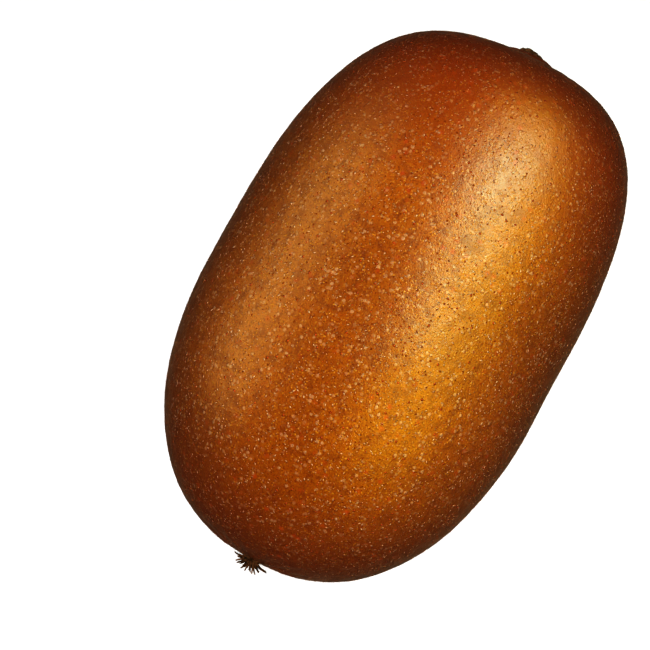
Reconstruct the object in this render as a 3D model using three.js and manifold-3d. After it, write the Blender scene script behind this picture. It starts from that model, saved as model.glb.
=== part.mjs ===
// A golden kiwi fruit, lying on its side as picked. Millimetres, +Z up.
//
// The long axis runs along X, with the stem end at +X. The fruit is one solid body, trimmed flat at the
// small spot that it rests on. The dried calyx, round the stub of the stem, stands in a plain hole at the
// stem end, and the withered styles of the flower stand in another at the blossom end. The origin is on
// the surface that the fruit lies on, under the middle of its length and width.

import * as THREE from "three";
import { mergeVertices } from "three/addons/utils/BufferGeometryUtils.js";
import Module from "manifold-3d";

// Body: a blunt barrel, measured from its widest section
const STEM_REACH = 41.9; // to the stem end
const BLOSSOM_REACH = 34.4; // to the blossom end
const WIDTH = 48.5; // across
const DEPTH = 47; // upright, before the flat spot is trimmed
const STEM_BLUNTNESS = 3.1; // exponent of the outline: 2 is an ellipse, more is blunter
const BLOSSOM_BLUNTNESS = 2.3;
const STEM_SLANT = 0.062; // lean of the stem end, which carries one shoulder further out
const RIDGE_COUNT = 3; // broad, low ridges along the body
const RIDGE_HEIGHT = 0.3;
const RIDGE_TURN = 0.6; // radians that the ridges stand turned about the axis
const AXIS_HEIGHT = 23; // of the long axis above the surface that the fruit lies on
const COLLAR_HEIGHT = 0.75; // low rise of the skin round the stub of the stem
const COLLAR_RADIUS = 4.3;
const COLLAR_TOP = 1.7; // radius of the collar's level top
const FACETS_AROUND = 64;
const FACETS_ALONG = 42;
const FACET_CROWDING = 0.7; // share by which facets shorten towards the ends

// Room between touching pieces
const GAP = 0.3;

// Stub of the stem with the dried sepals round it; two numbers are the least and the most
const STUB_RADIUS = 1.25;
const STUB_HEIGHT = 0.5; // above the collar
const STUB_CROWN = [[1, 0.5], [0.86, 1], [0.55, 1], [0.35, 0.6], [0, 0.45]]; // shares of radius, height
const STUB_SIDES = 14;
const STEM_ROOT_DEPTH = 1.8; // below the collar
const SEPAL_COUNT = 5;
const SEPAL_LENGTH = [1.0, 1.6];
const SEPAL_WIDTH = [1.5, 2.0];
const SEPAL_THICKNESS = 0.7;
const SEPAL_RISE = [0.05, 0.45]; // radians that a sepal's tip lifts off the skin
const SEPAL_STRAY = [-0.25, 0.25]; // radians that a sepal stands off its even place
const SEPAL_SEED = 7;

// Button of the flower with its withered styles; two numbers are the least and the most
const BUTTON_RADIUS = 1.3;
const BUTTON_HEIGHT = 0.6; // above the skin
const BUTTON_CROWN = [[1, 0.4], [0.75, 0.85], [0, 1]]; // shares of radius, height
const BUTTON_SIDES = 12;
const BUTTON_ROOT_DEPTH = 1.4; // below the skin
const STYLE_COUNT = 22;
const STYLE_LENGTH = [1.1, 1.9];
const STYLE_RADIUS = 0.3; // at the root
const STYLE_SIDES = 4;
const STYLE_CIRCLE = 1.05; // radius that the roots of the styles fill
const STYLE_LEAN = 1.25; // radians that the outermost styles lean out
const STYLE_STRAY = [-0.15, 0.15]; // radians that a style leans off its even place
const STYLE_SEED = 19;

const skinMaterial = new THREE.MeshStandardMaterial({ color: 0xa8641f, roughness: 0.42, metalness: 0 });
const calyxMaterial = new THREE.MeshStandardMaterial({ color: 0x3b2415, roughness: 0.9, metalness: 0 });
const styleMaterial = new THREE.MeshStandardMaterial({ color: 0x2a1a11, roughness: 0.9, metalness: 0 });

const wasm = await Module();
wasm.setup();

// Next number of the seeded series, between the least and the most
function between([least, most]) {
  return THREE.MathUtils.lerp(least, most, THREE.MathUtils.seededRandom());
}

// Closed geometry to a solid that can be joined and cut
function toSolid(geometry) {
  const bare = geometry.clone();
  bare.deleteAttribute("normal");
  bare.deleteAttribute("uv");
  const merged = mergeVertices(bare, 1e-4);
  const corners = merged.index.array;
  const triangles = [];
  for (let i = 0; i < corners.length; i += 3) {
    const triangle = [corners[i], corners[i + 1], corners[i + 2]];
    if (new Set(triangle).size === 3) triangles.push(...triangle); // leaves out those closed up at a pole
  }
  const mesh = new wasm.Mesh({
    numProp: 3,
    vertProperties: merged.attributes.position.array,
    triVerts: new Uint32Array(triangles),
  });
  return new wasm.Manifold(mesh);
}

// Solid back to a geometry with flat facets
function toGeometry(solid) {
  const { vertProperties, triVerts } = solid.getMesh();
  const geometry = new THREE.BufferGeometry();
  geometry.setAttribute("position", new THREE.BufferAttribute(vertProperties, 3));
  geometry.setIndex(new THREE.BufferAttribute(triVerts, 1));
  const facets = geometry.toNonIndexed();
  facets.computeVertexNormals();
  return facets;
}

// Several repeats of one piece, fused
function fused(count, makeSolid) {
  return Array.from({ length: count }, (_, index) => makeSolid(index)).reduce((all, one) => all.add(one));
}

// Point of the skin that lies from the middle of the widest section in a given direction
function skinPoint(direction, grown) {
  const { x, y, z } = direction;
  const reach = x > 0 ? STEM_REACH : BLOSSOM_REACH;
  const bluntness = x > 0 ? STEM_BLUNTNESS : BLOSSOM_BLUNTNESS;
  const along = Math.abs(x) / reach;
  const across = Math.hypot(y / (WIDTH / 2), z / (DEPTH / 2));
  const barrel = (along ** bluntness + across ** bluntness) ** (-1 / bluntness);
  const girth = 1 - x * x; // fades the ridges out towards the ends
  const ridge = RIDGE_HEIGHT * girth * Math.cos(RIDGE_COUNT * Math.atan2(z, y) + RIDGE_TURN);
  const offAxis = barrel * Math.hypot(y, z);
  const collarShare = x > 0 ? 1 - THREE.MathUtils.smoothstep(offAxis, COLLAR_TOP, COLLAR_RADIUS) : 0;
  const point = direction.clone().multiplyScalar(barrel + ridge + collarShare * COLLAR_HEIGHT + grown);
  const slantShare = THREE.MathUtils.smoothstep(point.x, 0, STEM_REACH);
  point.x -= STEM_SLANT * slantShare * point.y;
  return point;
}

// Whole barrel of the body, its skin moved out by the given amount
function barrelSolid(grown) {
  const geometry = new THREE.SphereGeometry(1, FACETS_AROUND, FACETS_ALONG);
  const { position, uv } = geometry.attributes;
  const direction = new THREE.Vector3();
  for (let i = 0; i < position.count; i++) {
    const turn = 2 * Math.PI * uv.getX(i); // about the long axis
    const even = Math.PI * (1 - uv.getY(i));
    const swing = even - (FACET_CROWDING * Math.sin(2 * even)) / 2; // from the stem end to the blossom end
    direction.set(Math.cos(swing), Math.sin(swing) * Math.cos(turn), Math.sin(swing) * Math.sin(turn));
    const point = skinPoint(direction, grown);
    position.setXYZ(i, point.x, point.y, point.z);
  }
  return toSolid(geometry);
}

// Place of the two ends, with +X as the outward axis
const stemEnd = new THREE.Matrix4()
  .makeRotationZ(Math.atan(STEM_SLANT))
  .setPosition(STEM_REACH + COLLAR_HEIGHT, 0, 0);
const blossomEnd = new THREE.Matrix4()
  .makeRotationZ(Math.PI)
  .setPosition(-BLOSSOM_REACH, 0, 0);

// Plain round hole at an end, from the given depth to well outside
function holeSolid(end, radius, depth, sides) {
  const outside = DEPTH / 2;
  const geometry = new THREE.CylinderGeometry(radius, radius, depth + outside, sides)
    .rotateZ(-Math.PI / 2)
    .translate((outside - depth) / 2, 0, 0)
    .applyMatrix4(end);
  return toSolid(geometry);
}

// Turned knob at an end, with its root below the skin and its crown above
function knobSolid(end, radius, rootDepth, height, crown, sides) {
  const root = [new THREE.Vector2(0, -rootDepth), new THREE.Vector2(radius, -rootDepth)];
  const profile = root.concat(crown.map(([wide, high]) => new THREE.Vector2(wide * radius, high * height)));
  const geometry = new THREE.LatheGeometry(profile, sides).rotateZ(-Math.PI / 2).applyMatrix4(end);
  return toSolid(geometry);
}

// Body with its flat spot and a plain hole at each end
function fruitSolid() {
  const ground = new THREE.BoxGeometry(4 * STEM_REACH, 2 * WIDTH, DEPTH)
    .translate(0, 0, -AXIS_HEIGHT - DEPTH / 2);
  const stemHole = holeSolid(stemEnd, STUB_RADIUS + GAP, STEM_ROOT_DEPTH + GAP, 2 * STUB_SIDES);
  const blossomHole = holeSolid(blossomEnd, BUTTON_RADIUS + GAP, BUTTON_ROOT_DEPTH + GAP, 2 * BUTTON_SIDES);
  return barrelSolid(0).subtract(toSolid(ground)).subtract(stemHole).subtract(blossomHole);
}

// One dried sepal, a thick scale that leans out from the stub
function sepalSolid(index) {
  const length = between(SEPAL_LENGTH);
  const width = between(SEPAL_WIDTH);
  const rise = between(SEPAL_RISE);
  const turn = (index / SEPAL_COUNT) * 2 * Math.PI + between(SEPAL_STRAY);
  const geometry = new THREE.SphereGeometry(0.5, 8, 6)
    .scale(SEPAL_THICKNESS, length, width)
    .rotateZ(-rise)
    .translate(GAP, STUB_RADIUS + length / 4, 0)
    .rotateX(turn)
    .applyMatrix4(stemEnd);
  return toSolid(geometry);
}

// Sepals cut clear of the skin and fused to the stub
function calyxSolid(clearOfSkin) {
  THREE.MathUtils.seededRandom(SEPAL_SEED);
  const sepals = fused(SEPAL_COUNT, sepalSolid).subtract(clearOfSkin);
  return sepals.add(knobSolid(stemEnd, STUB_RADIUS, STEM_ROOT_DEPTH, STUB_HEIGHT, STUB_CROWN, STUB_SIDES));
}

// One withered style, a thin spike that leans out from the button
function styleSolid(index) {
  const goldenAngle = Math.PI * (3 - Math.sqrt(5));
  const share = (index + 0.5) / STYLE_COUNT; // from 0 in the middle to 1 at the rim
  const length = between(STYLE_LENGTH);
  const lean = STYLE_LEAN * share + between(STYLE_STRAY);
  const geometry = new THREE.ConeGeometry(STYLE_RADIUS, length, STYLE_SIDES)
    .rotateZ(-Math.PI / 2)
    .translate(length / 2 - STYLE_RADIUS, 0, 0)
    .rotateZ(lean)
    .translate(BUTTON_HEIGHT / 2, STYLE_CIRCLE * Math.sqrt(share), 0)
    .rotateX(index * goldenAngle)
    .applyMatrix4(blossomEnd);
  return toSolid(geometry);
}

// Styles cut clear of the skin and fused to the button
function styleTuftSolid(clearOfSkin) {
  THREE.MathUtils.seededRandom(STYLE_SEED);
  const styles = fused(STYLE_COUNT, styleSolid).subtract(clearOfSkin);
  return styles.add(
    knobSolid(blossomEnd, BUTTON_RADIUS, BUTTON_ROOT_DEPTH, BUTTON_HEIGHT, BUTTON_CROWN, BUTTON_SIDES),
  );
}

function namedMesh(name, solid, material) {
  const mesh = new THREE.Mesh(toGeometry(solid), material);
  mesh.name = name;
  return mesh;
}

const clearOfSkin = barrelSolid(GAP);
const lying = new THREE.Group();
lying.add(
  namedMesh("fruit", fruitSolid(), skinMaterial),
  namedMesh("calyx", calyxSolid(clearOfSkin), calyxMaterial),
  namedMesh("style_tuft", styleTuftSolid(clearOfSkin), styleMaterial),
);

// The fruit lies with its flat spot at z = 0, centred on the origin
const centre = new THREE.Box3().setFromObject(lying).getCenter(new THREE.Vector3());
lying.position.set(-centre.x, -centre.y, AXIS_HEIGHT);

const goldenKiwi = new THREE.Group();
goldenKiwi.add(lying);

export default goldenKiwi;
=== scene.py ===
import bmesh
import bpy
import math
import random
from mathutils import Matrix, Vector, noise


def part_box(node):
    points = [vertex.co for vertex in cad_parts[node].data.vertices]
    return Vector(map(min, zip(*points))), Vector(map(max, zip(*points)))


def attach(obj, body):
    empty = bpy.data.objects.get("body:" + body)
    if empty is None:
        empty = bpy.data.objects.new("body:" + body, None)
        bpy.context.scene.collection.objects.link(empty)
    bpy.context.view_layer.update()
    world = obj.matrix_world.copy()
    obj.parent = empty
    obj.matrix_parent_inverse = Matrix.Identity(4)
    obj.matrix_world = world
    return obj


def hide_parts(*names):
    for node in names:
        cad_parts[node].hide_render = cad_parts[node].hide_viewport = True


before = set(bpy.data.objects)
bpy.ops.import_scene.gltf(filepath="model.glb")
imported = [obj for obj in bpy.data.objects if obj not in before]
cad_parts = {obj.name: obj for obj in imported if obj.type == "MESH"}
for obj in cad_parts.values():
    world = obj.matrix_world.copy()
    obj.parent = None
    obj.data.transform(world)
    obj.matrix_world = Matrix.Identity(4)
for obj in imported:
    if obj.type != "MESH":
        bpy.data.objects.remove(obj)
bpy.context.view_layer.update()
scene = bpy.context.scene
noise.seed_set(1)  # fixes the offsets that the vector noise draws
fullTurn = 2 * math.pi
softDetail = 2.0  # octaves of a soft noise


# helpers

def smoothStep(value, low, high):
    share = min(max((value - low) / (high - low), 0.0), 1.0)
    return share * share * (3.0 - 2.0 * share)


def paint(hexColour):  # screen colour to the linear one that sockets take
    shares = [int(hexColour[i:i + 2], 16) / 255 for i in (0, 2, 4)]
    linear = [s / 12.92 if s <= 0.04045 else ((s + 0.055) / 1.055) ** 2.4 for s in shares]
    return (*linear, 1.0)


def addNode(tree, kind, inputs=(), **settings):
    made = tree.nodes.new(kind)
    for name, value in settings.items():
        setattr(made, name, value)
    for name, value in dict(inputs).items():
        made.inputs[name].default_value = value
    return made


def addRamp(tree, stops):
    made = tree.nodes.new("ShaderNodeValToRGB")
    ramp = made.color_ramp
    while len(ramp.elements) < len(stops):
        ramp.elements.new(0.5)
    for element, (position, colour) in zip(ramp.elements, stops):
        element.position = position
        element.color = colour
    return made


def addRange(tree, value, low, high, toLow, toHigh):  # stretches a value from one range to another
    made = addNode(tree, "ShaderNodeMapRange", {
        "From Min": low, "From Max": high, "To Min": toLow, "To Max": toHigh,
    })
    tree.links.new(value, made.inputs["Value"])
    return made.outputs["Result"]


# lays one colour over another by a share, each a plain colour or a socket's
def addMix(tree, share, under, over):
    made = addNode(tree, "ShaderNodeMix", data_type="RGBA")
    tree.links.new(share, made.inputs["Factor"])
    for name, colour in (("A", under), ("B", over)):
        if isinstance(colour, tuple):
            made.inputs[name].default_value = colour
        else:
            tree.links.new(colour, made.inputs[name])
    return made.outputs["Result"]


def addMath(tree, operation, first, second):
    made = addNode(tree, "ShaderNodeMath", operation=operation)
    tree.links.new(first, made.inputs[0])
    tree.links.new(second, made.inputs[1])
    return made.outputs["Value"]


def addNoise(tree, coords, scale, detail=softDetail):
    made = addNode(tree, "ShaderNodeTexNoise", {"Scale": scale, "Detail": detail})
    tree.links.new(coords, made.inputs["Vector"])
    return made


def addBump(tree, height, look, shader):
    made = addNode(tree, "ShaderNodeBump", {"Strength": look["bump"], "Distance": look["bumpDepth"]})
    tree.links.new(height, made.inputs["Height"])
    tree.links.new(made.outputs["Normal"], shader.inputs["Normal"])


def newMaterial(name):
    material = bpy.data.materials.new(name)
    material.use_nodes = True
    tree = material.node_tree
    return material, tree, tree.nodes["Principled BSDF"]


def newObject(name, bm, material):
    mesh = bpy.data.meshes.new(name)
    bm.to_mesh(mesh)
    bm.free()
    mesh.shade_smooth()
    mesh.materials.append(material)
    return bpy.data.objects.new(name, mesh)


def newPiece(name, bm, material, node):
    piece = newObject(name, bm, material)
    scene.collection.objects.link(piece)
    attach(piece, "root")
    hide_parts(node)
    return piece


# closed shape of revolution about Z, from (radius, height) pairs that run upwards outside it
def turnedMesh(profile, steps):
    bm = bmesh.new()
    rings = []
    for radius, height in profile:
        turns = [fullTurn * step / steps for step in range(steps if radius > 0 else 1)]
        rings.append([bm.verts.new((radius * math.cos(t), radius * math.sin(t), height)) for t in turns])
    for low, high in zip(rings, rings[1:]):
        for step in range(steps):
            after = step + 1
            corners = (
                low[step % len(low)], low[after % len(low)],
                high[after % len(high)], high[step % len(high)],
            )
            bm.faces.new(dict.fromkeys(corners))  # three corners where a ring is a single point
    return bm


def ballMesh(around, along):  # ball of radius 1
    swings = [math.pi * ring / along for ring in range(1, along)]
    return turnedMesh([(0, -1), *((math.sin(s), -math.cos(s)) for s in swings), (0, 1)], around)


def joinMesh(whole, part):
    mesh = bpy.data.meshes.new("part")
    part.to_mesh(mesh)
    part.free()
    whole.from_mesh(mesh)
    bpy.data.meshes.remove(mesh)


def roughen(verts, height, size):
    for vert in verts:
        vert.co += noise.noise_vector(vert.co / size) * height


# body: a blunt barrel, measured from its widest section

barrel = {
    "stemReach": 0.0419,
    "blossomReach": 0.0344,
    "width": 0.0485,
    "depth": 0.047,
    "stemBluntness": 3.1,  # 2 is an ellipse, more is blunter
    "blossomBluntness": 2.3,
    "stemSlant": 0.062,  # carries one shoulder of the stem end further out
    "ridgeCount": 3,
    "ridgeHeight": 0.0003,
    "ridgeTurn": 0.6,
    "axisHeight": 0.023,
    "collarHeight": 0.00075,  # rise of the skin round the stub
    "collarRadius": 0.0046,
    "collarTop": 0.0027,
    "puckerCount": 17,  # fine folds that run into both ends
    "puckerDepth": 0.00007,
    "puckerReach": 0.010,
    "puckerStray": 2.5,
    "dentSize": 0.011,  # broad unevenness
    "dentDepth": 0.00016,
    "pebbleSize": 0.0010,  # fine unevenness
    "pebbleDepth": 0.00005,
    "segmentsAround": 400,
    "segmentsAlong": 240,
    "crowding": 0.4,  # share by which faces shorten towards the ends
}


def skinPoint(direction):
    towardStem = direction.x > 0.0
    reach = barrel["stemReach"] if towardStem else barrel["blossomReach"]
    bluntness = barrel["stemBluntness"] if towardStem else barrel["blossomBluntness"]
    along = abs(direction.x) / reach
    across = math.hypot(direction.y / (barrel["width"] / 2), direction.z / (barrel["depth"] / 2))
    radius = (along ** bluntness + across ** bluntness) ** (-1.0 / bluntness)
    turn = math.atan2(direction.z, direction.y)
    girth = 1.0 - direction.x ** 2  # fades the ridges out towards the ends
    ridge = math.cos(barrel["ridgeCount"] * turn + barrel["ridgeTurn"])
    radius += barrel["ridgeHeight"] * girth * ridge
    offAxis = radius * math.hypot(direction.y, direction.z)
    foot = smoothStep(offAxis, barrel["collarTop"], barrel["collarRadius"])
    if towardStem:
        radius += barrel["collarHeight"] * (1.0 - foot)
    point = direction * radius
    dent = noise.noise(point / barrel["dentSize"])
    fold = foot * (1.0 - smoothStep(offAxis, barrel["collarRadius"], barrel["puckerReach"]))
    pucker = math.cos(barrel["puckerCount"] * turn + barrel["puckerStray"] * dent)
    relief = barrel["puckerDepth"] * fold * pucker
    relief += barrel["dentDepth"] * dent
    relief += barrel["pebbleDepth"] * noise.noise(point / barrel["pebbleSize"])
    point += direction * relief
    point.x -= barrel["stemSlant"] * smoothStep(point.x, 0.0, barrel["stemReach"]) * point.y
    return point


def crowdToEnds(direction):  # spends more faces on the two ends
    even = math.acos(max(-1.0, min(1.0, direction.x)))
    swing = even - barrel["crowding"] * math.sin(2.0 * even) / 2.0
    turn = math.atan2(direction.z, direction.y)
    return Vector((math.cos(swing), math.sin(swing) * math.cos(turn), math.sin(swing) * math.sin(turn)))


skinMesh = ballMesh(barrel["segmentsAround"], barrel["segmentsAlong"])
lying = Matrix.Rotation(math.pi / 2, 3, "Y")
for vert in skinMesh.verts:
    vert.co = skinPoint(crowdToEnds((lying @ vert.co).normalized()))

# the barrel takes the place that the CAD body has, and lies flat on the ground
cadLow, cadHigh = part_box("fruit")
acrossMiddle = (min(v.co.y for v in skinMesh.verts) + max(v.co.y for v in skinMesh.verts)) / 2
place = Vector((
    cadLow.x + barrel["blossomReach"],
    (cadLow.y + cadHigh.y) / 2 - acrossMiddle,
    cadLow.z + barrel["axisHeight"],
))
bmesh.ops.translate(skinMesh, verts=skinMesh.verts, vec=place)
for vert in skinMesh.verts:
    vert.co.z = max(vert.co.z, cadLow.z)
print("skin shaped:", len(skinMesh.verts), "points")


# skin finish

# redder and darker skin near the two ends, partly the skin's own blush and partly painted shade where
# the ends turn from the light, and painted shade down the sides: axis, where a band starts and where it
# is full in metres, its share there and its tone
blushAndShadeBands = [
    ("X", 0.012, 0.030, 0.85, paint("923c02")),
    ("X", 0.028, 0.041, 0.75, paint("682002")),
    ("X", -0.020, -0.040, 0.75, paint("6e2a03")),
    ("Z", 0.041, 0.030, 0.55, paint("6e2802")),
]
fineSpecks = {
    "scale": 2600.0,  # all noise scales are per metre
    "radius": (0.4, 0.2),  # of a spot's edge and of its full tone, as shares of its cell
    "draw": (0.4, 0.8),  # random values from which a spot shows and is at its most
    "most": 0.85,
    "clusterScale": 330.0,
    "clusterRange": (0.36, 0.6),
    "clusterShares": (0.5, 1.0),
}
coarseSpecks = {
    "scale": 1500.0,
    "radius": (0.45, 0.25),
    "draw": (0.5, 0.8),
    "most": 0.9,
    "clusterScale": 260.0,
    "clusterRange": (0.38, 0.6),
    "clusterShares": (0.45, 1.0),
}
redSpecks = {
    "scale": 700.0,
    "radius": (0.35, 0.1),
    "draw": (0.45, 0.7),
    "most": 0.85,
    "clusterScale": 60.0,
    "clusterRange": (0.4, 0.6),
    "clusterShares": (0.4, 1.0),
}
speckBlushAndShade = 0.58  # share of the blush and painted shade that shows on pale specks, flecks and hairs
skinLook = {
    "patches": [(0.3, paint("925105")), (0.5, paint("9d5906")), (0.7, paint("a65f07"))],
    "shade": paint("783304"),
    "tan": paint("bc8318"),
    "pale": paint("b48860"),
    "red": paint("a6480a"),
    "broadScale": 55.0,
    "mottleScale": 650.0,
    "mottleDetail": 3.0,
    "grainScale": 4200.0,
    "mottleShade": (0.47, 0.68, 0.0, 0.6),  # range of a noise, then the values that it gives
    "grainShade": (0.46, 0.34, 0.0, 0.75),
    "grainTan": (0.55, 0.68, 0.0, 0.2),
    "warp": (0.00025, 0.00025, 0.00025),  # how far the edges of the specks stray
    "roughness": (0.3, 0.7, 0.33, 0.43),
    "specular": 0.75,
    "specularTint": paint("ffffe6"),
    "bump": 0.45,
    "bumpDepth": 0.0001,
    "glow": 0.12,  # light that spreads under the skin, with its reach in metres
    "glowReach": (0.0025, 0.0008, 0.0002),
}


# mixes in the bands: blush with painted shade at the ends, painted shade down the sides
def addBlushAndShade(tree, colour, strength):
    coords = addNode(tree, "ShaderNodeTexCoord").outputs["Object"]
    parts = addNode(tree, "ShaderNodeSeparateXYZ")
    tree.links.new(coords, parts.inputs["Vector"])
    for axis, start, full, most, tone in blushAndShadeBands:
        share = addRange(tree, parts.outputs[axis], start, full, 0.0, most * strength)
        colour = addMix(tree, share, colour, tone)
    return colour


# spots in loose clusters, a part of them drawn at random
def addSpecks(tree, coords, edgeCoords, look):
    cells = addNode(tree, "ShaderNodeTexVoronoi", {"Scale": look["scale"]})
    tree.links.new(edgeCoords, cells.inputs["Vector"])
    spot = addRange(tree, cells.outputs["Distance"], *look["radius"], 0.0, 1.0)
    draw = addNode(tree, "ShaderNodeSeparateColor")
    tree.links.new(cells.outputs["Color"], draw.inputs["Color"])
    drawn = addRange(tree, draw.outputs["Red"], *look["draw"], 0.0, look["most"])
    clusters = addNoise(tree, coords, look["clusterScale"])
    crowd = addRange(tree, clusters.outputs["Fac"], *look["clusterRange"], *look["clusterShares"])
    return addMath(tree, "MULTIPLY", addMath(tree, "MULTIPLY", spot, drawn), crowd)


def skinMaterial():
    material, tree, shader = newMaterial("bronze_skin")
    link = tree.links.new
    coords = addNode(tree, "ShaderNodeTexCoord").outputs["Object"]
    broad = addNoise(tree, coords, skinLook["broadScale"])
    mottle = addNoise(tree, coords, skinLook["mottleScale"], skinLook["mottleDetail"])
    grain = addNoise(tree, coords, skinLook["grainScale"])
    warped = addNode(tree, "ShaderNodeVectorMath", operation="MULTIPLY_ADD")
    link(grain.outputs["Color"], warped.inputs[0])
    warped.inputs[1].default_value = skinLook["warp"]
    link(coords, warped.inputs[2])
    edgeCoords = warped.outputs["Vector"]

    # colour: broad patches, ever finer mottling, the blush with painted shade, then redder and paler
    # specks
    patches = addRamp(tree, skinLook["patches"])
    link(broad.outputs["Fac"], patches.inputs["Fac"])
    colour = patches.outputs["Color"]
    for texture, limits, tone in (
        (mottle, "mottleShade", "shade"), (grain, "grainShade", "shade"), (grain, "grainTan", "tan"),
    ):
        share = addRange(tree, texture.outputs["Fac"], *skinLook[limits])
        colour = addMix(tree, share, colour, skinLook[tone])
    # blush with painted shade towards the ends and down the sides
    colour = addBlushAndShade(tree, colour, 1.0)
    colour = addMix(tree, addSpecks(tree, coords, edgeCoords, redSpecks), colour, skinLook["red"])
    shares = []
    for specks, tone in ((fineSpecks, "tan"), (coarseSpecks, "pale")):
        share = addSpecks(tree, coords, edgeCoords, specks)
        colour = addMix(tree, share, colour, addBlushAndShade(tree, skinLook[tone], speckBlushAndShade))
        shares.append(share)
    link(colour, shader.inputs["Base Color"])

    roughness = addRange(tree, mottle.outputs["Fac"], *skinLook["roughness"])
    link(roughness, shader.inputs["Roughness"])
    raised = addMath(tree, "ADD", grain.outputs["Fac"], addMath(tree, "ADD", *shares))
    addBump(tree, raised, skinLook, shader)
    shader.inputs["Subsurface Weight"].default_value = skinLook["glow"]
    shader.inputs["Subsurface Radius"].default_value = skinLook["glowReach"]
    shader.inputs["Subsurface Scale"].default_value = 1.0
    shader.inputs["Specular IOR Level"].default_value = skinLook["specular"]
    shader.inputs["Specular Tint"].default_value = skinLook["specularTint"]
    return material


skin = newPiece("skin", skinMesh, skinMaterial(), "fruit")
print("skin finished")


# flecks and hairs on the skin: sizes run from many small ones to a few large ones

pale = {
    "apart": 0.00036,
    "most": 3200000.0,
    "seed": 3,
    "least": (0.00007, 0.00005, 0.000015),
    "largest": (0.0003, 0.00012, 0.00003),
    "clusterScale": 160.0,
    "clusterRange": (0.38, 0.62),
    "shares": (0.45, 1.0),
    "tones": [(0.0, paint("a06e42")), (0.5, paint("be9070")), (1.0, paint("d6b698"))],
    "roughness": 0.36,
    "specular": 1.0,
}
dark = {
    "apart": 0.00042,
    "most": 1800000.0,
    "seed": 11,
    "least": (0.00006, 0.00005, 0.000015),
    "largest": (0.00019, 0.00015, 0.00003),
    "clusterScale": 110.0,
    "clusterRange": (0.4, 0.62),
    "shares": (0.25, 1.0),
    "tones": [(0.0, paint("8c4206")), (1.0, paint("a05408"))],
    "roughness": 0.9,
    "specular": 0.2,
}
red = {
    "apart": 0.0009,
    "most": 700000.0,
    "seed": 23,
    "least": (0.00011, 0.0001, 0.00002),
    "largest": (0.00026, 0.00021, 0.000035),
    "clusterScale": 70.0,
    "clusterRange": (0.4, 0.62),
    "shares": (0.15, 1.0),
    "tones": [(0.0, paint("a6480c")), (1.0, paint("bc5814"))],
    "roughness": 0.45,
    "specular": 0.45,
}
hairs = {
    "apart": 0.0012,
    "most": 400000.0,
    "seed": 31,
    "least": (0.0003, 0.00005, 0.00003),
    "largest": (0.0009, 0.00008, 0.00006),
    "clusterScale": 90.0,
    "clusterRange": (0.4, 0.65),
    "shares": (0.2, 1.0),
    "tones": [(0.0, paint("a8691c")), (1.0, paint("d8ac70"))],
    "roughness": 0.5,
    "specular": 0.5,
    "profile": [(0, 0), (0.5, 0.2), (0.42, 0.65), (0, 1)],
    "sides": 3,
    "arch": 1.5,  # in thicknesses
    "bend": 2.5,
}
fleckSegments = (4, 2)  # around and along
clearOfGround = 0.0004  # height below which the skin is bare
sideHeights = (0.020, 0.034)  # the flecks thin out from the upper height to the lower
sideShares = (0.5, 1.0)


def fleckMaterial(name, look):
    material, tree, shader = newMaterial(name)
    tone = addNode(tree, "ShaderNodeAttribute", attribute_name="tone")
    ramp = addRamp(tree, look["tones"])
    tree.links.new(tone.outputs["Fac"], ramp.inputs["Fac"])
    # the flecks take a share of the blush and the painted shade too
    tree.links.new(addBlushAndShade(tree, ramp.outputs["Color"], speckBlushAndShade), shader.inputs["Base Color"])
    shader.inputs["Roughness"].default_value = look["roughness"]
    shader.inputs["Specular IOR Level"].default_value = look["specular"]
    return material


def fleckMesh():
    return ballMesh(*fleckSegments)


def hairMesh():  # one hair along X, arched and bent, with both ends on the skin
    bm = turnedMesh(hairs["profile"], hairs["sides"])
    bmesh.ops.rotate(bm, verts=bm.verts, matrix=Matrix.Rotation(math.pi / 2, 3, "Y"))
    for vert in bm.verts:
        along = vert.co.x
        vert.co.z += hairs["arch"] * along * (1.0 - along)
        vert.co.y += hairs["bend"] * along * (1.0 - along)
    return bm


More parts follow.
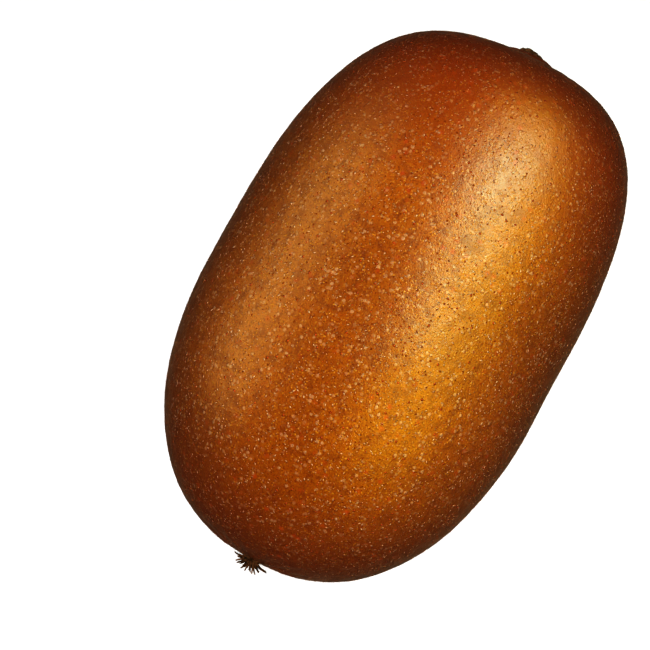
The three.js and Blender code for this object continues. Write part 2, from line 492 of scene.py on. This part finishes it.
def scatterOnSkin(name, shape, look):
    tree = bpy.data.node_groups.new(name, "GeometryNodeTree")
    tree.interface.new_socket("Geometry", in_out="INPUT", socket_type="NodeSocketGeometry")
    tree.interface.new_socket("Geometry", in_out="OUTPUT", socket_type="NodeSocketGeometry")
    link = tree.links.new
    given = addNode(tree, "NodeGroupInput")
    taken = addNode(tree, "NodeGroupOutput")

    # spots in loose clusters, none where the fruit lies on the ground
    position = addNode(tree, "GeometryNodeInputPosition")
    parts = addNode(tree, "ShaderNodeSeparateXYZ")
    link(position.outputs["Position"], parts.inputs["Vector"])
    clear = addNode(
        tree, "FunctionNodeCompare", {"B": clearOfGround}, data_type="FLOAT", operation="GREATER_THAN",
    )
    link(parts.outputs["Z"], clear.inputs["A"])
    clusters = addNoise(tree, position.outputs["Position"], look["clusterScale"])
    spots = addNode(tree, "GeometryNodeDistributePointsOnFaces", {
        "Distance Min": look["apart"], "Density Max": look["most"], "Seed": look["seed"],
    }, distribute_method="POISSON")
    link(given.outputs["Geometry"], spots.inputs["Mesh"])
    link(clear.outputs["Result"], spots.inputs["Selection"])
    crowd = addRange(tree, clusters.outputs["Fac"], *look["clusterRange"], *look["shares"])
    upper = addRange(tree, parts.outputs["Z"], *sideHeights, *sideShares)
    link(addMath(tree, "MULTIPLY", crowd, upper), spots.inputs["Density Factor"])

    # each copy lies flat, turned and sized at random
    turn = addNode(tree, "FunctionNodeRandomValue", {"Max": (0, 0, fullTurn)}, data_type="FLOAT_VECTOR")
    turned = addNode(tree, "FunctionNodeEulerToRotation")
    link(turn.outputs["Value"], turned.inputs["Euler"])
    facing = addNode(tree, "FunctionNodeRotateRotation", rotation_space="LOCAL")
    link(spots.outputs["Rotation"], facing.inputs["Rotation"])
    link(turned.outputs["Rotation"], facing.inputs["Rotate By"])
    draw = addNode(tree, "FunctionNodeRandomValue", {"Seed": look["seed"] + 1}, data_type="FLOAT")
    squared = addMath(tree, "MULTIPLY", draw.outputs["Value"], draw.outputs["Value"])
    size = addNode(tree, "ShaderNodeMix", data_type="VECTOR")
    vectorIn = [socket for socket in size.inputs if socket.type == "VECTOR"]  # the last two are mixed
    vectorIn[-2].default_value = look["least"]
    vectorIn[-1].default_value = look["largest"]
    link(squared, size.inputs["Factor"])
    source = addNode(tree, "GeometryNodeObjectInfo", {"Object": shape})
    copies = addNode(tree, "GeometryNodeInstanceOnPoints")
    link(spots.outputs["Points"], copies.inputs["Points"])
    link(source.outputs["Geometry"], copies.inputs["Instance"])
    link(facing.outputs["Rotation"], copies.inputs["Rotation"])
    link(next(s for s in size.outputs if s.type == "VECTOR"), copies.inputs["Scale"])

    # each copy keeps a tone of its own
    tone = addNode(tree, "FunctionNodeRandomValue", {"Seed": look["seed"] + 2}, data_type="FLOAT")
    toned = addNode(
        tree, "GeometryNodeStoreNamedAttribute", {"Name": "tone"}, data_type="FLOAT", domain="INSTANCE",
    )
    link(copies.outputs["Instances"], toned.inputs["Geometry"])
    link(tone.outputs["Value"], toned.inputs["Value"])
    real = addNode(tree, "GeometryNodeRealizeInstances")
    link(toned.outputs["Geometry"], real.inputs["Geometry"])
    link(real.outputs["Geometry"], taken.inputs["Geometry"])

    piece = bpy.data.objects.new(name, skin.data.copy())
    scene.collection.objects.link(piece)
    piece.modifiers.new("scatter", "NODES").node_group = tree
    graph = bpy.context.evaluated_depsgraph_get()
    scattered = bpy.data.meshes.new_from_object(piece.evaluated_get(graph))
    piece.modifiers.clear()
    piece.data = scattered
    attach(piece, "root")
    print(name, "scattered:", len(scattered.polygons), "faces")


for scatterName, scatterLook, makeMesh in (
    ("pale_flecks", pale, fleckMesh),
    ("dark_flecks", dark, fleckMesh),
    ("red_flecks", red, fleckMesh),
    ("fine_hairs", hairs, hairMesh),
):
    single = newObject(scatterName + "_one", makeMesh(), fleckMaterial(scatterName, scatterLook))
    scatterOnSkin(scatterName, single, scatterLook)


# dried tissue, for both ends

driedLook = {
    "fibreScale": 1500.0,
    "fibreDetail": 5.0,
    "toneStops": (0.35, 0.7),
    "bump": 0.7,
    "bumpDepth": 0.0002,
    "roughness": 0.85,
    "specular": 0.15,
}


def driedMaterial(name, darkTone, lightTone):
    material, tree, shader = newMaterial(name)
    link = tree.links.new
    coords = addNode(tree, "ShaderNodeTexCoord").outputs["Object"]
    fibres = addNoise(tree, coords, driedLook["fibreScale"], driedLook["fibreDetail"])
    tone = addRamp(tree, list(zip(driedLook["toneStops"], (darkTone, lightTone))))
    link(fibres.outputs["Fac"], tone.inputs["Fac"])
    link(tone.outputs["Color"], shader.inputs["Base Color"])
    addBump(tree, fibres.outputs["Fac"], driedLook, shader)
    shader.inputs["Roughness"].default_value = driedLook["roughness"]
    shader.inputs["Specular IOR Level"].default_value = driedLook["specular"]
    return material


# calyx at the stem end: the stub of the stem, hollow on top, in a ring of dried sepals

calyx = {
    "stubRadius": 0.0011,
    "stubHeight": 0.0008,
    "rootDepth": 0.0008,
    "crown": [(0, -1), (1, -1), (1, 0.3), (0.92, 0.8), (0.75, 1), (0.55, 0.9), (0.35, 0.55), (0, 0.45)],
    "stubSteps": 40,
    "sepalCount": 5,
    "sepalLength": (0.0010, 0.0015),
    "sepalWidth": (0.0009, 0.0013),
    "sepalThickness": 0.0005,
    "sepalTaper": 0.6,
    "sepalDroop": 0.00025,
    "sepalStray": 0.2,
    "sepalShift": 0.25,  # share of its length by which a sepal's middle lies outside the stub
    "sepalSegments": (20, 12),
    "lift": 0.00045,
    "roughHeight": 0.00016,
    "roughSize": 0.0006,
    "darkTone": paint("2c180d"),
    "lightTone": paint("6d4b30"),
    "seed": 7,
}
stemEnd = (
    Matrix.Translation(place + Vector((barrel["stemReach"] + barrel["collarHeight"], 0, 0)))
    @ Matrix.Rotation(math.atan(barrel["stemSlant"]), 4, "Z")
    @ Matrix.Rotation(math.pi / 2, 4, "Y")
)


def calyxMesh():
    draw = random.Random(calyx["seed"])
    radius = calyx["stubRadius"]
    profile = []
    for wide, high in calyx["crown"]:
        tall = calyx["stubHeight"] if high > 0 else calyx["rootDepth"]
        profile.append((wide * radius, high * tall))
    bm = turnedMesh(profile, calyx["stubSteps"])
    around, along = calyx["sepalSegments"]
    for index in range(calyx["sepalCount"]):
        length = draw.uniform(*calyx["sepalLength"])
        width = draw.uniform(*calyx["sepalWidth"])
        sepal = ballMesh(around, along)
        half = Vector((length, width, calyx["sepalThickness"])) / 2
        bmesh.ops.scale(sepal, verts=sepal.verts, vec=half)
        for vert in sepal.verts:
            out = vert.co.x / length + 0.5  # from 0 at the stub to 1 at the tip
            vert.co.y *= 1.0 - calyx["sepalTaper"] * out ** 2
            vert.co.z -= calyx["sepalDroop"] * out ** 2
        middleOut = radius + calyx["sepalShift"] * length
        bmesh.ops.translate(sepal, verts=sepal.verts, vec=(middleOut, 0, calyx["lift"]))
        stray = draw.uniform(-calyx["sepalStray"], calyx["sepalStray"])
        turn = (index + stray) / calyx["sepalCount"] * fullTurn
        bmesh.ops.rotate(sepal, verts=sepal.verts, matrix=Matrix.Rotation(turn, 3, "Z"))
        joinMesh(bm, sepal)
    roughen(bm.verts, calyx["roughHeight"], calyx["roughSize"])
    bmesh.ops.transform(bm, verts=bm.verts, matrix=stemEnd)
    return bm


calyxFinish = driedMaterial("dried_calyx", calyx["darkTone"], calyx["lightTone"])
newPiece("dried_calyx", calyxMesh(), calyxFinish, "calyx")
print("calyx made")


# withered styles at the blossom end, on the button that the flower left

tuft = {
    "buttonRadius": 0.0013,
    "buttonHeight": 0.0006,
    "buttonSegments": (32, 20),
    "roughHeight": 0.00015,
    "roughSize": 0.0007,
    "styleCount": 34,
    "styleLength": (0.0011, 0.0019),
    "styleThick": 0.0002,
    "styleThin": 0.00007,
    "styleRings": 6,
    "styleSides": 6,
    "curl": (0.1, 0.5),
    "bend": (-0.25, 0.25),
    "circle": 0.00105,  # radius that the roots of the styles fill
    "lean": 1.25,  # radians that the outermost styles lean out
    "leanStray": (-0.15, 0.15),
    "sunk": 0.4,  # share of the button's height at which the roots stand
    "darkTone": paint("33200f"),
    "lightTone": paint("755032"),
    "seed": 19,
}
blossomEnd = (
    Matrix.Translation(place + Vector((-barrel["blossomReach"], 0, 0)))
    @ Matrix.Rotation(-math.pi / 2, 4, "Y")
)


def styleMesh(draw):  # one withered style, curled over as it dried
    length = draw.uniform(*tuft["styleLength"])
    last = tuft["styleRings"] - 1
    tube = []
    for ring in range(tuft["styleRings"]):
        up = ring / last
        tube.append((tuft["styleThick"] + (tuft["styleThin"] - tuft["styleThick"]) * up, length * up))
    bm = turnedMesh([(0, 0), *tube, (0, length)], tuft["styleSides"])
    curl = draw.uniform(*tuft["curl"])
    bend = draw.uniform(*tuft["bend"])
    for vert in bm.verts:
        up = vert.co.z / length
        vert.co.x += curl * length * up ** 2
        vert.co.y += bend * length * up ** 2
    return bm


def tuftMesh():
    draw = random.Random(tuft["seed"])
    goldenAngle = math.pi * (3 - math.sqrt(5))
    bm = ballMesh(*tuft["buttonSegments"])
    broad = tuft["buttonRadius"]
    bmesh.ops.scale(bm, verts=bm.verts, vec=(broad, broad, tuft["buttonHeight"]))
    roughen(bm.verts, tuft["roughHeight"], tuft["roughSize"])
    for index in range(tuft["styleCount"]):
        share = (index + 0.5) / tuft["styleCount"]  # from 0 in the middle to 1 at the rim
        style = styleMesh(draw)
        lean = tuft["lean"] * share + draw.uniform(*tuft["leanStray"])
        root = Vector((tuft["circle"] * math.sqrt(share), 0, tuft["buttonHeight"] * tuft["sunk"]))
        turn = Matrix.Rotation(index * goldenAngle, 4, "Z")
        stand = turn @ Matrix.Translation(root) @ Matrix.Rotation(lean, 4, "Y")
        bmesh.ops.transform(style, verts=style.verts, matrix=stand)
        joinMesh(bm, style)
    bmesh.ops.transform(bm, verts=bm.verts, matrix=blossomEnd)
    return bm


tuftFinish = driedMaterial("withered_styles", tuft["darkTone"], tuft["lightTone"])
newPiece("withered_styles", tuftMesh(), tuftFinish, "style_tuft")
print("styles made")


# floor, lights and camera

studio = {
    "floorSide": 8.0,
    "floorTone": (0.576, 0.576, 0.576, 1.0),
    "floorRoughness": 0.9,
    "room": 0.05,
    "roomTone": (0.88, 0.82, 0.6, 1.0),
    "underside": 0.45,  # bright ground that the skin mirrors at its rim
    "undersideFrom": -0.75,  # heights of the direction in which it starts and is full
    "undersideTo": -1.0,
    "gamma": 0.63,  # deepens the shades and leaves white white
}
topLight = {"spread": 4.0, "power": 5.6}
# softboxes: degrees off the upright towards the stem end and towards +Y, degrees that the box is turned
# about its aim, distance, long and short side
keyLight = {
    "toStem": 27.0,
    "aside": -37.5,
    "twist": 11.0,
    "away": 0.95,
    "size": (2.2, 0.9),
    "colour": (0.87, 0.9, 0.07),
    "power": 33.0,
}
coreLight = {
    "toStem": 31.5,
    "aside": -24.5,
    "twist": 11.0,
    "away": 0.95,
    "size": (0.48, 0.42),
    "colour": (0.2, 0.68, 1),
    "power": 10.0,
}
sideLight = {
    "toStem": -8.0,
    "aside": 69.0,
    "twist": 0.0,
    "away": 0.8,
    "size": (0.75, 0.5),
    "colour": (0.9, 0.86, 0.45),
    "power": 4.8,
}
shot = {
    "azimuth": -61.1,
    "elevation": 84.0,
    "away": 0.6,
    "imageSide": 650,
    "middlePixel": (390.0, 308.6),  # where the middle of the fruit lies in the picture
    "pixelsPerMetre": 7490,
}
middle = place + Vector(((barrel["stemReach"] - barrel["blossomReach"]) / 2, 0, 0))


def makeFloor():
    bm = bmesh.new()
    bmesh.ops.create_grid(bm, x_segments=1, y_segments=1, size=studio["floorSide"] / 2)
    material, _, shader = newMaterial("pale_floor")
    shader.inputs["Base Color"].default_value = studio["floorTone"]
    shader.inputs["Roughness"].default_value = studio["floorRoughness"]
    floor = newObject("floor", bm, material)
    floor.visible_glossy = False  # the skin mirrors only the lights and a dim room
    scene.collection.objects.link(floor)


def cameraTurn():
    azimuth = math.radians(shot["azimuth"])
    elevation = math.radians(shot["elevation"])
    level = math.cos(elevation)
    back = Vector((math.sin(azimuth) * level, -math.cos(azimuth) * level, math.sin(elevation)))
    return (-back).to_track_quat("-Z", "Y")


def makeTopLight(look):  # even light from the side of the camera, without a highlight
    data = bpy.data.lights.new("top", "SUN")
    data.energy = look["power"]
    data.angle = math.radians(look["spread"])
    light = bpy.data.objects.new("top", data)
    light.rotation_euler = cameraTurn().to_euler()
    light.visible_glossy = False
    scene.collection.objects.link(light)


# softbox that shows in the gloss alone, its long side along the fruit before it is twisted
def makeShineLight(name, look):
    data = bpy.data.lights.new(name, "AREA")
    data.energy = look["power"]
    data.color = look["colour"]
    data.shape = "RECTANGLE"
    data.size, data.size_y = look["size"]
    light = bpy.data.objects.new(name, data)
    toStem, aside, twist = (math.radians(look[angle]) for angle in ("toStem", "aside", "twist"))
    aim = Vector((math.tan(toStem), math.tan(aside), 1)).normalized()
    lengthwise = (Vector((1, 0, 0)) - aim * aim.x).normalized()
    facing = Matrix((lengthwise, aim.cross(lengthwise), aim)).transposed()
    light.rotation_euler = (facing @ Matrix.Rotation(twist, 3, "Z")).to_euler()
    light.location = middle + aim * look["away"]
    light.visible_diffuse = False
    scene.collection.objects.link(light)


def makeCamera():
    turn = cameraTurn()
    pixelX, pixelY = shot["middlePixel"]
    half = shot["imageSide"] / 2
    aside = turn @ Vector((half - pixelX, pixelY - half, 0)) / shot["pixelsPerMetre"]
    data = bpy.data.cameras.new("camera")
    data.lens = data.sensor_width * shot["away"] * shot["pixelsPerMetre"] / shot["imageSide"]
    camera = bpy.data.objects.new("camera", data)
    camera.rotation_euler = turn.to_euler()
    camera.location = middle + aside + turn @ Vector((0, 0, shot["away"]))
    scene.collection.objects.link(camera)
    scene.camera = camera


def makeRoom():  # dim above, bright below
    scene.world = bpy.data.worlds.new("room")
    scene.world.use_nodes = True
    tree = scene.world.node_tree
    room = tree.nodes["Background"]
    room.inputs["Color"].default_value = studio["roomTone"]
    direction = addNode(tree, "ShaderNodeSeparateXYZ")
    tree.links.new(addNode(tree, "ShaderNodeTexCoord").outputs["Generated"], direction.inputs["Vector"])
    strength = addRange(
        tree, direction.outputs["Z"], studio["undersideFrom"], studio["undersideTo"],
        studio["room"], studio["underside"],
    )
    tree.links.new(strength, room.inputs["Strength"])


makeFloor()
makeTopLight(topLight)
makeShineLight("key", keyLight)
makeShineLight("core", coreLight)
makeShineLight("side", sideLight)
makeCamera()
makeRoom()
scene.view_settings.view_transform = "Standard"
scene.view_settings.gamma = studio["gamma"]
print("studio set")
